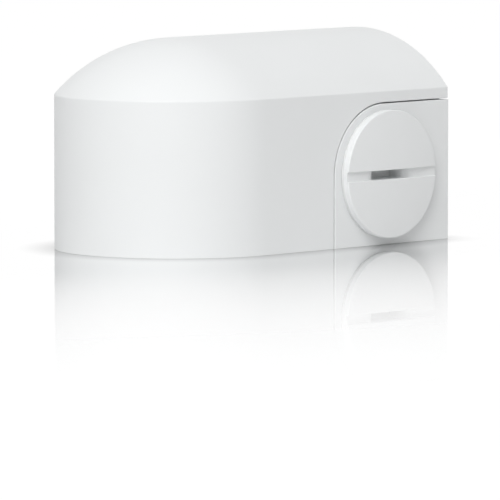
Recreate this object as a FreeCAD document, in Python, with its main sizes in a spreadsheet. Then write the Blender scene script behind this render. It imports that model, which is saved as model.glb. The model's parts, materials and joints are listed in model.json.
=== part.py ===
import FreeCAD, Part
import math
import os
from types import SimpleNamespace

import Sketcher

# Driving dimensions in millimetres; the conduit entries take a 3/4-14 straight pipe thread.
DIMENSIONS = {
    # Whole housing: a straight-backed D in plan, with a domed roof.
    "width": 62.5,
    "length": 99.6,
    "wall_height": 39.4,
    "dome_rise": 14.45,
    "crease_round": 0.5,
    "edge_round": 0.2,
    # Cover shell and the room it slides in.
    "cover_wall": 2.8,
    "cover_setback": 0.25,
    "slide_gap": 0.4,
    "seam_gap": 0.35,
    "rail_depth": 1.5,
    "rail_height": 1.2,
    "rail_gap": 0.4,
    # Side panel: where its arched seam runs.
    "seam_reach": 42.75,
    "seam_height": 36.44,
    "arch_radius": 18.19,
    # Tongue behind the seam, with a soft strip in its groove.
    "tongue_reach": 1.9,
    "tongue_wall": 2.4,
    "strip_start": 0.55,
    "strip_width": 0.8,
    "strip_depth": 0.9,
    "seal_fit": 0.08,
    # Floor and rear wall.
    "floor_wall": 3.2,
    "rear_wall": 3.0,
    "rim_seal_width": 2.2,
    "rim_seal_depth": 1.6,
    "rim_lip": 1.2,
    "rim_band": 3.8,
    # Conduit entry.
    "entry_setback": 23.95,
    "entry_height": 18.25,
    "thread_major": 26.44,
    "thread_pitch": 1.8143,
    "thread_depth": 1.0,
    "thread_fit": 0.12,
    "thread_sink": 0.2,
    "entry_wall": 3.0,
    "entry_depth": 14.0,
    "entry_recess": 1.0,
    # Closing plug.
    "head_diameter": 33.0,
    "head_thick": 1.6,
    "head_crown": 0.9,
    "washer_thick": 1.0,
    "head_round": 0.35,
    "tip_bevel": 0.4,
    "shank_length": 11.5,
    "shank_wall": 2.5,
    "end_wall": 2.2,
    "thread_lead": 1.2,
    "thread_turns": 4.5,
    "slot_width": 2.4,
    "slot_depth": 0.4,
    "slot_round": 0.15,
    "pocket_length": 10.0,
    "pocket_mouth": 4.0,
    "pocket_depth": 6.0,
    "pocket_wall": 1.5,
    # Screws that hold the cover.
    "screw_spacing": 26.0,
    "screw_height": 40.0,
    "screw_size": 3.0,
    "screw_length": 12.0,
    "screw_head": 5.5,
    "screw_head_thick": 2.0,
    "screw_head_round": 0.35,
    "screw_bevel": 0.4,
    "screw_sink": 0.4,
    "hex_size": 2.0,
    "hex_depth": 1.3,
    "ring_thick": 0.6,
    "screw_play": 0.2,
    "sink_play": 0.45,
    "boss_wall": 1.2,
    "boss_floor": 1.0,
    "base_boss_reach": 6.0,
    "cover_boss_length": 9.0,
    "cover_insert_size": 4.2,
    "cover_insert_length": 5.7,
    "thread_play": 0.08,
    "web_thick": 2.0,
    # Threaded inserts for a camera bracket.
    "bracket_width": 40.0,
    "bracket_height": 23.0,
    "bracket_bottom": 8.0,
    "bracket_insert_size": 5.6,
    "bracket_thread": 3.3,
    "bracket_insert_length": 6.5,
    "bracket_sink": 0.2,
    # Cable opening in the rear wall, its grommet and clamp.
    "cable_height": 15.0,
    "cable_opening": 16.0,
    "cable_bore": 6.0,
    "cable_slit": 0.5,
    "flange_reach": 2.0,
    "grommet_flange": 1.0,
    "grommet_inner": 1.6,
    "rubber_fit": 0.05,
    "clamp_thick": 1.5,
    "clamp_spacing": 27.0,
    "clamp_window": 13.0,
    "clamp_ear": 3.4,
    "clamp_screw_size": 2.2,
    "clamp_screw_head": 4.4,
    "clamp_screw_head_thick": 1.6,
    "clamp_screw_reach": 3.8,
    "clamp_head_round": 0.5,
    "cross_reach": 2.2,
    "cross_width": 0.55,
    "cross_depth": 0.8,
    # Wall side: screw holes, cable entry with its bung, gaskets.
    "wall_hole": 4.5,
    "wall_hole_head": 8.6,
    "wall_hole_sink": 1.2,
    "wall_hole_spacing": 24.0,
    "wall_hole_pitch": 60.0,
    "wall_hole_setback": 12.0,
    "wall_entry": 18.0,
    "wall_entry_place": 2.0,
    "bung_top": 1.5,
    "bung_dish": 12.0,
    "bung_dish_depth": 3.0,
    "gasket_edge": 1.0,
    "gasket_foot": 2.0,
    "gasket_width": 2.9,
    "gasket_thick": 1.0,
}


class Size:
    """A length that carries its value and the sheet formula behind it."""

    def __init__(self, value, formula):
        self.value = float(value)
        self.formula = formula

    @staticmethod
    def of(other):
        return other if isinstance(other, Size) else Size(other, repr(float(other)))

    def joined(self, other, sign, value):
        return Size(value, f"({self.formula} {sign} {other.formula})")

    def __add__(self, other):
        other = Size.of(other)
        return self.joined(other, "+", self.value + other.value)

    def __radd__(self, other):
        return Size.of(other) + self

    def __sub__(self, other):
        other = Size.of(other)
        return self.joined(other, "-", self.value - other.value)

    def __rsub__(self, other):
        return Size.of(other) - self

    def __mul__(self, other):
        other = Size.of(other)
        return self.joined(other, "*", self.value * other.value)

    def __rmul__(self, other):
        return Size.of(other) * self

    def __truediv__(self, other):
        other = Size.of(other)
        return self.joined(other, "/", self.value / other.value)

    def __neg__(self):
        return Size.of(-1) * self


ZERO = Size(0.0, "0")


def root(size):
    """Square root of an area, as a length."""
    return Size(math.sqrt(size.value), f"sqrt({size.formula})")


doc = FreeCAD.newDocument("conduit_adapter")
sheet = doc.addObject("Spreadsheet::Sheet", "Sizes")
for row, (alias, value) in enumerate(DIMENSIONS.items(), start=1):
    sheet.set(f"A{row}", alias)
    sheet.set(f"B{row}", str(value))
    sheet.setAlias(f"B{row}", alias)
doc.recompute()
dim = SimpleNamespace(**{alias: Size(value, f"Sizes.{alias}") for alias, value in DIMENSIONS.items()})

# Places worked out from the driving dimensions, in the housing's own frame:
# x across, the nose towards -y, the rear plane at +y, z up from the wall face.
half_width = dim.width / 2
rear = dim.length / 2
nose_centre = half_width - rear
cover_rear = rear - dim.cover_setback
dome_radius = (half_width * half_width + dim.dome_rise * dim.dome_rise) / (2 * dim.dome_rise)
dome_centre = dim.wall_height + dim.dome_rise - dome_radius
slide_inset = dim.cover_wall + dim.slide_gap
seam_front = rear - dim.seam_reach
arch_centre_y = seam_front + dim.arch_radius
arch_centre_z = dim.seam_height - dim.arch_radius
half_gap = dim.seam_gap / 2
panel_top = dim.seam_height - half_gap
rear_inner = rear - dim.rear_wall
rim_seat = rear_inner - dim.rim_seal_width
rim_front = rim_seat - dim.rim_lip
entry_y = rear - dim.entry_setback
entry_z = dim.entry_height
boss_start = rim_front - dim.slide_gap
screw_seat = rear - dim.screw_sink - dim.screw_head_thick - dim.ring_thick
screw_under_head = screw_seat + dim.ring_thick
# How far a cut runs past the solid, and the shortest edge that an edge test takes.
OUTSIDE = Size(5.0, "5")
SHORTEST = 1.0


def bind(thing, path, size):
    """Tie one property of a feature to the sheet."""
    thing.setExpression(path, Size.of(size).formula)


def new_body(label):
    body = doc.addObject("PartDesign::Body", label)
    body.Label = label
    return body


def new_sketch(body, name, plane, u=ZERO, v=ZERO, w=ZERO):
    """Sketch on an origin plane, moved by u and v in the plane and w along its normal.

    XY_Plane has normal +z, XZ_Plane has normal -y and YZ_Plane has normal +x.
    """
    sketch = body.newObject("Sketcher::SketchObject", f"{body.Name}_{name}")
    support = next(item for item in body.Origin.OriginFeatures if item.Role == plane)
    sketch.AttachmentSupport = [(support, "")]
    sketch.MapMode = "FlatFace"
    for axis, size in (("x", u), ("y", v), ("z", w)):
        bind(sketch, f"AttachmentOffset.Base.{axis}", size)
    return sketch


def pin(sketch, geometry, position, u=None, v=None):
    """Hold one point of the sketch at u across and v up, or at the one that is given."""
    for kind, size in (("DistanceX", u), ("DistanceY", v)):
        if size is None:
            continue
        size = Size.of(size)
        number = sketch.addConstraint(Sketcher.Constraint(kind, -1, 1, geometry, position, size.value))
        bind(sketch, f"Constraints[{number}]", size)


def draw(sketch, points, arcs=None):
    """Closed outline through points; arcs gives the centre and turn of curved sides.

    Side n runs from point n to the next one. A turn of 1 is anticlockwise, -1 clockwise.
    """
    arcs = arcs or {}
    for side, (start, end) in enumerate(zip(points, points[1:] + points[:1])):
        first = FreeCAD.Vector(Size.of(start[0]).value, Size.of(start[1]).value, 0)
        last = FreeCAD.Vector(Size.of(end[0]).value, Size.of(end[1]).value, 0)
        if side not in arcs:
            line = sketch.addGeometry(Part.LineSegment(first, last), False)
            pin(sketch, line, 1, *start)
            pin(sketch, line, 2, *end)
            continue
        centre, radius, turn = arcs[side]
        middle = FreeCAD.Vector(Size.of(centre[0]).value, Size.of(centre[1]).value, 0)
        circle = Part.Circle(middle, FreeCAD.Vector(0, 0, 1), radius.value)
        low, high = (first, last) if turn > 0 else (last, first)
        angles = [math.atan2(point.y - middle.y, point.x - middle.x) for point in (low, high)]
        curve = sketch.addGeometry(Part.ArcOfCircle(circle, angles[0], angles[1]), False)
        pin(sketch, curve, 1 if turn > 0 else 2, *start)
        pin(sketch, curve, 2 if turn > 0 else 1, *end)
        # With both ends held, the centre can only slide across the chord.
        if abs(last.x - first.x) < abs(last.y - first.y):
            pin(sketch, curve, 3, u=centre[0])
        else:
            pin(sketch, curve, 3, v=centre[1])
    return sketch


def draw_circle(sketch, u, v, radius):
    centre = FreeCAD.Vector(Size.of(u).value, Size.of(v).value, 0)
    number = sketch.addGeometry(Part.Circle(centre, FreeCAD.Vector(0, 0, 1), radius.value), False)
    pin(sketch, number, 3, u, v)
    size = sketch.addConstraint(Sketcher.Constraint("Radius", number, radius.value))
    bind(sketch, f"Constraints[{size}]", radius)
    return sketch


def draw_box(sketch, u_low, u_high, v_low, v_high):
    return draw(sketch, [(u_low, v_low), (u_high, v_low), (u_high, v_high), (u_low, v_high)])


def extrude(body, sketch, length, cut=False, back=False, both=False):
    """Pad or pocket a sketch along its normal, against it with back, or half each way with both."""
    kind = "PartDesign::Pocket" if cut else "PartDesign::Pad"
    feature = body.newObject(kind, sketch.Name + ("_cut" if cut else "_pad"))
    feature.Profile = sketch
    feature.SideType = "Symmetric" if both else "One side"
    # A pocket runs against the normal unless it is reversed, a pad along it.
    feature.Reversed = back != cut
    bind(feature, "Length", length)
    return feature


def turn_about(body, sketch, axis, cut=False, angle=360.0):
    """Revolve or groove a sketch about its own H_Axis or V_Axis, half the angle each way."""
    kind = "PartDesign::Groove" if cut else "PartDesign::Revolution"
    feature = body.newObject(kind, sketch.Name + "_turn")
    feature.Profile = sketch
    feature.ReferenceAxis = (sketch, [axis])
    feature.Angle = angle
    feature.Midplane = angle < 360.0
    return feature


def soften(body, name, radius, wanted):
    """Round the edges of the body's last feature for which wanted(edge) holds."""
    doc.recompute()
    base = body.Tip
    edges = [f"Edge{number}" for number, edge in enumerate(base.Shape.Edges, start=1) if wanted(edge)]
    if not edges:
        raise RuntimeError(f"{body.Label}: no edge found for {name}")
    feature = body.newObject("PartDesign::Fillet", f"{body.Name}_{name}")
    feature.Base = (base, edges)
    bind(feature, "Radius", radius)
    return feature


def near(value, target, reach=0.01):
    return abs(value - Size.of(target).value) < reach


def flat_at(edge, axis, place):
    """True for an edge that lies in the plane axis = place."""
    box = edge.BoundBox
    return near(getattr(box, axis + "Min"), place) and near(getattr(box, axis + "Max"), place)


# Outlines shared by the pieces.

def roof_spring(inset):
    """Height at which the roof arc meets the side wall, at an inset from the outer surface."""
    radius = dome_radius - inset
    half = half_width - inset
    return dome_centre + root(radius * radius - half * half)


def draw_section(sketch, inset, bottom):
    """Cross-section of the housing in x and z."""
    half = half_width - inset
    spring = roof_spring(inset)
    points = [(-half, bottom), (half, bottom), (half, spring), (-half, spring)]
    return draw(sketch, points, {2: ((ZERO, dome_centre), dome_radius - inset, 1)})


def draw_section_band(sketch, outer, inner, bottom):
    """Arch between two insets of the cross-section, open at the bottom."""
    near_half = half_width - inner
    far_half = half_width - outer
    near_spring = roof_spring(inner)
    far_spring = roof_spring(outer)
    points = [(-far_half, bottom), (-near_half, bottom), (-near_half, near_spring),
              (near_half, near_spring), (near_half, bottom), (far_half, bottom),
              (far_half, far_spring), (-far_half, far_spring)]
    middle = (ZERO, dome_centre)
    return draw(sketch, points, {2: (middle, dome_radius - inner, -1), 6: (middle, dome_radius - outer, 1)})


def draw_plan(sketch, inset, back):
    """Plan of the housing in x and y, from the nose to y = back."""
    half = half_width - inset
    points = [(half, nose_centre), (half, back), (-half, back), (-half, nose_centre)]
    return draw(sketch, points, {3: ((ZERO, nose_centre), half, 1)})


def draw_arch(sketch, offset, bottom, back):
    """Side panel outline in y and z, offset outwards from the middle of the seam."""
    radius = dim.arch_radius + offset
    top = dim.seam_height + offset
    points = [(seam_front - offset, bottom), (seam_front - offset, arch_centre_z), (arch_centre_y, top),
              (back, top), (back, bottom)]
    return draw(sketch, points, {1: ((arch_centre_y, arch_centre_z), radius, -1)})


def draw_arch_band(sketch, inner, outer, bottom, back):
    """Strip that follows the seam between two offsets."""
    middle = (arch_centre_y, arch_centre_z)
    points = [(seam_front - outer, bottom), (seam_front - outer, arch_centre_z),
              (arch_centre_y, dim.seam_height + outer), (back, dim.seam_height + outer),
              (back, dim.seam_height + inner), (arch_centre_y, dim.seam_height + inner),
              (seam_front - inner, arch_centre_z), (seam_front - inner, bottom)]
    curves = {1: (middle, dim.arch_radius + outer, -1), 5: (middle, dim.arch_radius + inner, 1)}
    return draw(sketch, points, curves)


def side_name(side):
    return "right" if side > 0 else "left"


# Screw thread that the plug and the entry share. Its flanks lean by 30 degrees and its crest is
# an eighth of the pitch; the entry's thread starts whole turns behind the plug's, to stay in step.
FLANK_DEGREES = 30.0
RUN_OUT_TURNS = 2
flank = math.tan(math.radians(FLANK_DEGREES))
crest_flat = dim.thread_pitch / 8
plug_crest = dim.thread_major / 2 - dim.thread_fit
plug_root = plug_crest - dim.thread_depth
entry_groove = dim.thread_major / 2
entry_bore = entry_groove - dim.thread_depth + dim.thread_fit
plug_thread_start = half_width + dim.washer_thick - dim.shank_length + dim.thread_lead
thread_behind = plug_thread_start - (half_width - dim.entry_depth)
turns_behind = math.ceil(thread_behind.value / dim.thread_pitch.value)
entry_thread_start = plug_thread_start - turns_behind * dim.thread_pitch
entry_thread_turns = (half_width - entry_thread_start) / dim.thread_pitch + RUN_OUT_TURNS


def add_thread(body, side, first, turns, inner, outer, inner_half, outer_half, cut):
    """Right-hand helical ridge or groove about a conduit entry's axis.

    first is the ridge's middle measured outwards from the housing's middle, where the helix
    crosses the entry's own horizontal plane; inner and outer are radii.
    """
    sketch = new_sketch(body, f"thread_{side_name(side)}", "XY_Plane", u=side * first, v=entry_y, w=entry_z)
    draw(sketch, [(-inner_half, inner), (inner_half, inner), (outer_half, outer), (-outer_half, outer)])
    kind = "PartDesign::SubtractiveHelix" if cut else "PartDesign::AdditiveHelix"
    helix = body.newObject(kind, sketch.Name + "_helix")
    helix.Profile = sketch
    helix.ReferenceAxis = (sketch, ["H_Axis"])
    helix.Mode = "pitch-turns-angle"
    helix.Reversed = side < 0
    bind(helix, "Pitch", dim.thread_pitch)
    bind(helix, "Turns", turns)
    return helix


def make_base():
    body = new_body("base")
    rebate_inset = slide_inset + dim.rail_depth
    rail_room = dim.rail_height + 2 * dim.rail_gap

    # Floor: a narrower foot under a wider plate leaves the rebate that the cover's rails run in.
    foot = draw_plan(new_sketch(body, "foot", "XY_Plane"), rebate_inset, rear_inner)
    extrude(body, foot, rail_room)
    plate = draw_plan(new_sketch(body, "plate", "XY_Plane", w=rail_room), slide_inset, rear_inner)
    extrude(body, plate, dim.floor_wall - rail_room)
    sill = new_sketch(body, "sill", "XY_Plane")
    draw_box(sill, -half_width, half_width, seam_front + half_gap, rear)
    extrude(body, sill, dim.floor_wall)

    # Rear wall: full width up to the seam, then a roofed plate that fills the cover's open end.
    low = new_sketch(body, "rear_low", "XZ_Plane", w=-rear)
    draw_box(low, -half_width, half_width, ZERO, panel_top)
    extrude(body, low, dim.rear_wall)
    high = draw_section(new_sketch(body, "rear_high", "XZ_Plane", w=-rear), slide_inset, dim.floor_wall)
    extrude(body, high, dim.rear_wall)
    band_inset = slide_inset + dim.rim_band
    rim_bottom = panel_top - dim.rim_band
    seat = new_sketch(body, "rim_seat", "XZ_Plane", w=-rear_inner)
    draw_section_band(seat, slide_inset + dim.rim_seal_depth, band_inset, rim_bottom)
    extrude(body, seat, dim.rim_seal_width + dim.rim_lip)
    lip = new_sketch(body, "rim_lip", "XZ_Plane", w=-rim_seat)
    draw_section_band(lip, slide_inset, band_inset, rim_bottom)
    extrude(body, lip, dim.rim_lip)

    for side in (1, -1):
        name = side_name(side)
        inwards = side > 0
        # Side panel, flush with the cover's skirt.
        panel = new_sketch(body, f"panel_{name}", "YZ_Plane", w=side * half_width)
        draw_arch(panel, -half_gap, ZERO, rear)
        extrude(body, panel, slide_inset, back=inwards)
        # Tongue behind the seam.
        tongue = new_sketch(body, f"tongue_{name}", "YZ_Plane", w=side * (half_width - slide_inset))
        draw_arch_band(tongue, -dim.tongue_wall, dim.tongue_reach, ZERO, rim_seat)
        extrude(body, tongue, dim.tongue_wall, back=inwards)
        # Groove for the soft strip.
        groove = new_sketch(body, f"groove_{name}", "YZ_Plane", w=side * (half_width - slide_inset))
        draw_arch_band(groove, dim.strip_start - dim.rubber_fit,
                       dim.strip_start + dim.strip_width + dim.rubber_fit, dim.rubber_fit, rim_front)
        extrude(body, groove, dim.strip_depth, cut=True, back=inwards)
        # Conduit entry.
        boss = new_sketch(body, f"entry_{name}", "YZ_Plane", w=side * (half_width - dim.entry_recess))
        draw_circle(boss, entry_y, entry_z, entry_groove + dim.entry_wall)
        extrude(body, boss, dim.entry_depth - dim.entry_recess, back=inwards)

    # Bosses on the inside of the rear wall.
    inside = new_sketch(body, "screw_bosses", "XZ_Plane", w=-rear_inner)
    for side in (1, -1):
        draw_circle(inside, side * dim.screw_spacing / 2, dim.screw_height,
                    dim.screw_head / 2 + dim.sink_play + dim.boss_wall)
    extrude(body, inside, rear_inner - (rear - dim.base_boss_reach))
    inside = new_sketch(body, "bracket_bosses", "XZ_Plane", w=-rear_inner)
    for side in (1, -1):
        for level in (dim.bracket_bottom, dim.bracket_bottom + dim.bracket_height):
            draw_circle(inside, side * dim.bracket_width / 2, level,
                        dim.bracket_insert_size / 2 + dim.boss_wall)
    extrude(body, inside, dim.bracket_insert_length + 2 * dim.bracket_sink + dim.boss_floor - dim.rear_wall)
    inside = new_sketch(body, "clamp_bosses", "XZ_Plane", w=-rear_inner)
    for side in (1, -1):
        draw_circle(inside, side * dim.clamp_spacing / 2, dim.cable_height,
                    dim.clamp_screw_size / 2 + dim.boss_wall)
    extrude(body, inside, dim.grommet_inner)

    # Holes from the rear: cover screws and their heads, bracket inserts, the cable opening.
    def rear_hole(name, places, radius, depth):
        sketch = new_sketch(body, name, "XZ_Plane", w=-rear)
        for u, v in places:
            draw_circle(sketch, u, v, radius)
        return extrude(body, sketch, depth, cut=True)

    screws = [(side * dim.screw_spacing / 2, dim.screw_height) for side in (1, -1)]
    rear_hole("screw_sinks", screws, dim.screw_head / 2 + dim.sink_play, rear - screw_seat)
    rear_hole("screw_holes", screws, dim.screw_size / 2 + dim.screw_play, dim.base_boss_reach + OUTSIDE)
    inserts = [(side * dim.bracket_width / 2, level) for side in (1, -1)
               for level in (dim.bracket_bottom, dim.bracket_bottom + dim.bracket_height)]
    rear_hole("bracket_holes", inserts, dim.bracket_insert_size / 2,
              dim.bracket_insert_length + 2 * dim.bracket_sink)
    opening = [(ZERO, dim.cable_height)]
    rear_hole("cable_flange", opening, dim.cable_opening / 2 + dim.flange_reach + dim.rubber_fit,
              dim.grommet_flange)
    rear_hole("cable_hole", opening, dim.cable_opening / 2, dim.rear_wall + OUTSIDE)
    pilots = new_sketch(body, "clamp_pilots", "XZ_Plane", w=-(rear_inner - dim.grommet_inner))
    for side in (1, -1):
        draw_circle(pilots, side * dim.clamp_spacing / 2, dim.cable_height,
                    dim.clamp_screw_size / 2 + dim.rubber_fit)
    extrude(body, pilots, dim.clamp_screw_reach, cut=True, back=True)

    # Gasket groove round the rear face.
    ring = new_sketch(body, "rear_ring", "XZ_Plane", w=-rear)
    draw_rear_ring(ring, ZERO)
    extrude(body, ring, dim.gasket_thick, cut=True)

    # Floor: wall screw holes, the wall cable entry and the gasket groove.
    def floor_hole(name, places, radius, depth, level=ZERO, down=False):
        sketch = new_sketch(body, name, "XY_Plane", w=level)
        for u, v in places:
            draw_circle(sketch, u, v, radius)
        return extrude(body, sketch, depth, cut=True, back=down)

    holes = [(side * dim.wall_hole_spacing / 2, rear - dim.wall_hole_setback - step) for side in (1, -1)
             for step in (ZERO, dim.wall_hole_pitch)]
    floor_hole("wall_holes", holes, dim.wall_hole / 2, dim.floor_wall)
    floor_hole("wall_sinks", holes, dim.wall_hole_head / 2, dim.wall_hole_sink, dim.floor_wall, down=True)
    entry = [(ZERO, dim.wall_entry_place)]
    floor_hole("bung_hole", entry, dim.wall_entry / 2, dim.floor_wall)
    floor_hole("bung_flange", entry, dim.wall_entry / 2 + dim.flange_reach + dim.rubber_fit,
               dim.grommet_flange)
    ring = new_sketch(body, "floor_ring", "XY_Plane")
    draw_floor_ring(ring, ZERO)
    extrude(body, ring, dim.gasket_thick, cut=True)

    # Conduit bores last: a plain bore, a recess at its mouth and the pipe thread.
    groove_half = crest_flat / 2 + dim.thread_fit + dim.rubber_fit
    groove_foot = entry_bore - dim.thread_sink
    foot_half = groove_half + (entry_groove - groove_foot) * flank
    for side in (1, -1):
        name = side_name(side)
        inwards = side > 0
        mouth = new_sketch(body, f"mouth_{name}", "YZ_Plane", w=side * half_width)
        draw_circle(mouth, entry_y, entry_z, entry_groove + dim.thread_fit)
        extrude(body, mouth, dim.entry_recess, cut=True, back=inwards)
        bore = new_sketch(body, f"bore_{name}", "YZ_Plane", w=side * half_width)
        draw_circle(bore, entry_y, entry_z, entry_bore)
        extrude(body, bore, dim.entry_depth, cut=True, back=inwards)
        add_thread(body, side, entry_thread_start, entry_thread_turns, groove_foot, entry_groove,
                   foot_half, groove_half, cut=True)

    def seam_edge(edge):
        """Outer edges of the two panels, from the floor round the arch to the rear."""
        on_side = flat_at(edge, "X", half_width) or flat_at(edge, "X", -half_width)
        box = edge.BoundBox
        front = near(box.YMin, seam_front + half_gap) and box.ZLength > SHORTEST
        top = near(box.ZMax, panel_top) and box.YLength > SHORTEST
        return on_side and (front or top)

    soften(body, "seam_round", dim.edge_round, seam_edge)
    return body


def draw_rear_ring(sketch, slack):
    """Ring of the rear gasket, made narrower all round by slack."""
    outer = slide_inset + dim.gasket_edge + slack
    inner = slide_inset + dim.gasket_edge + dim.gasket_width - slack
    draw_section(sketch, outer, dim.gasket_foot + slack)
    return draw_section(sketch, inner, dim.gasket_foot + dim.gasket_width - slack)


def draw_floor_ring(sketch, slack):
    """Ring of the wall gasket, made narrower all round by slack."""
    outer = slide_inset + dim.rail_depth + dim.gasket_edge
    draw_plan(sketch, outer + slack, rear - dim.rear_wall - slack)
    back = rear - dim.rear_wall - dim.gasket_width
    return draw_plan(sketch, outer + dim.gasket_width - slack, back + slack)


def make_cover():
    body = new_body("cover")
    # Outside: vaulted prism with a domed, rounded nose.
    hood = draw_section(new_sketch(body, "hood", "XZ_Plane", w=-cover_rear), ZERO, ZERO)
    extrude(body, hood, cover_rear - nose_centre)
    nose = new_sketch(body, "nose", "YZ_Plane", u=nose_centre)
    draw_nose(nose, ZERO, ZERO)
    turn_about(body, nose, "V_Axis", angle=180.0)

    def crease(edge):
        return flat_at(edge, "Z", dim.wall_height) and edge.BoundBox.YMin < cover_rear.value - SHORTEST

    soften(body, "crease_round", dim.crease_round, crease)

    # Inside: the same form, one wall smaller, open at the rear and underneath.
    inner = new_sketch(body, "hollow", "XZ_Plane", w=-(cover_rear + OUTSIDE))
    draw_section(inner, dim.cover_wall, -OUTSIDE)
    extrude(body, inner, cover_rear + OUTSIDE - nose_centre, cut=True)
    inner = new_sketch(body, "hollow_nose", "YZ_Plane", u=nose_centre)
    draw_nose(inner, dim.cover_wall, -OUTSIDE)
    turn_about(body, inner, "V_Axis", cut=True, angle=180.0)

    # Cut-outs for the side panels.
    window = new_sketch(body, "window", "YZ_Plane")
    draw_arch(window, half_gap, -OUTSIDE, rear + OUTSIDE)
    extrude(body, window, dim.width + OUTSIDE, cut=True, both=True)

    def seam_edge(edge):
        box = edge.BoundBox
        on_side = flat_at(edge, "X", half_width) or flat_at(edge, "X", -half_width)
        front = near(box.YMin, seam_front - half_gap) and box.ZLength > SHORTEST
        top = near(box.ZMax, dim.seam_height + half_gap) and box.YLength > SHORTEST
        return on_side and (front or top)

    soften(body, "seam_round", dim.edge_round, seam_edge)

    # Rails along the skirt's foot, and screw bosses hung from the roof.
    rail_reach = dim.cover_wall + dim.rail_depth
    for side in (1, -1):
        rail = new_sketch(body, f"rail_{side_name(side)}", "XY_Plane", w=dim.rail_gap)
        limits = [side * (half_width - dim.cover_wall / 2), side * (half_width - rail_reach)]
        low, high = sorted(limits, key=lambda size: size.value)
        rail_end = seam_front - dim.tongue_reach - dim.cover_wall
        draw_box(rail, low, high, nose_centre + dim.cover_wall, rail_end)
        extrude(body, rail, dim.rail_height)
        place = side * dim.screw_spacing / 2
        radius = dim.cover_insert_size / 2 + dim.boss_wall
        boss = new_sketch(body, f"boss_{side_name(side)}", "XZ_Plane", w=-boss_start)
        draw_circle(boss, place, dim.screw_height, radius)
        extrude(body, boss, dim.cover_boss_length)
        web = new_sketch(body, f"web_{side_name(side)}", "XZ_Plane", w=-boss_start)
        reach = dome_radius - dim.cover_wall / 2
        roof = dome_centre + root(reach * reach - place * place)
        half_web = dim.web_thick / 2
        draw_box(web, place - half_web, place + half_web, dim.screw_height + radius / 2, roof)
        extrude(body, web, dim.cover_boss_length)
        hole = new_sketch(body, f"insert_hole_{side_name(side)}", "XZ_Plane", w=-boss_start)
        draw_circle(hole, place, dim.screw_height, dim.cover_insert_size / 2)
        extrude(body, hole, dim.cover_boss_length - dim.boss_floor, cut=True)
    return body


def draw_nose(sketch, inset, bottom):
    """Half section of the nose, from its axis forwards."""
    radius = half_width - inset
    crown = dome_radius - inset
    points = [(ZERO, bottom), (ZERO, dome_centre + crown), (-radius, roof_spring(inset)), (-radius, bottom)]
    return draw(sketch, points, {1: ((ZERO, dome_centre), crown, 1)})


def make_side_seal(side):
    body = new_body(f"side_seal_{side_name(side)}")
    reach = dim.strip_depth + dim.slide_gap - dim.seal_fit
    floor = half_width - slide_inset - dim.strip_depth
    strip = new_sketch(body, "strip", "YZ_Plane", w=side * floor)
    draw_arch_band(strip, dim.strip_start, dim.strip_start + dim.strip_width, dim.rail_gap,
                   rim_front - dim.rubber_fit)
    extrude(body, strip, reach, back=side < 0)
    return body


def make_cover_seal():
    body = new_body("cover_seal")
    strip = new_sketch(body, "strip", "XZ_Plane", w=-(rear_inner - dim.rubber_fit))
    seat = slide_inset + dim.rim_seal_depth - dim.rubber_fit
    draw_section_band(strip, dim.cover_wall + dim.seal_fit, seat, panel_top + dim.rubber_fit)
    extrude(body, strip, dim.rim_seal_width - 2 * dim.rubber_fit)
    return body


def make_wall_gasket():
    body = new_body("wall_gasket")
    extrude(body, draw_floor_ring(new_sketch(body, "ring", "XY_Plane"), dim.rubber_fit), dim.gasket_thick)
    return body


def make_rear_gasket():
    body = new_body("rear_gasket")
    ring = draw_rear_ring(new_sketch(body, "ring", "XZ_Plane", w=-rear), dim.rubber_fit)
    extrude(body, ring, dim.gasket_thick)
    return body


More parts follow.
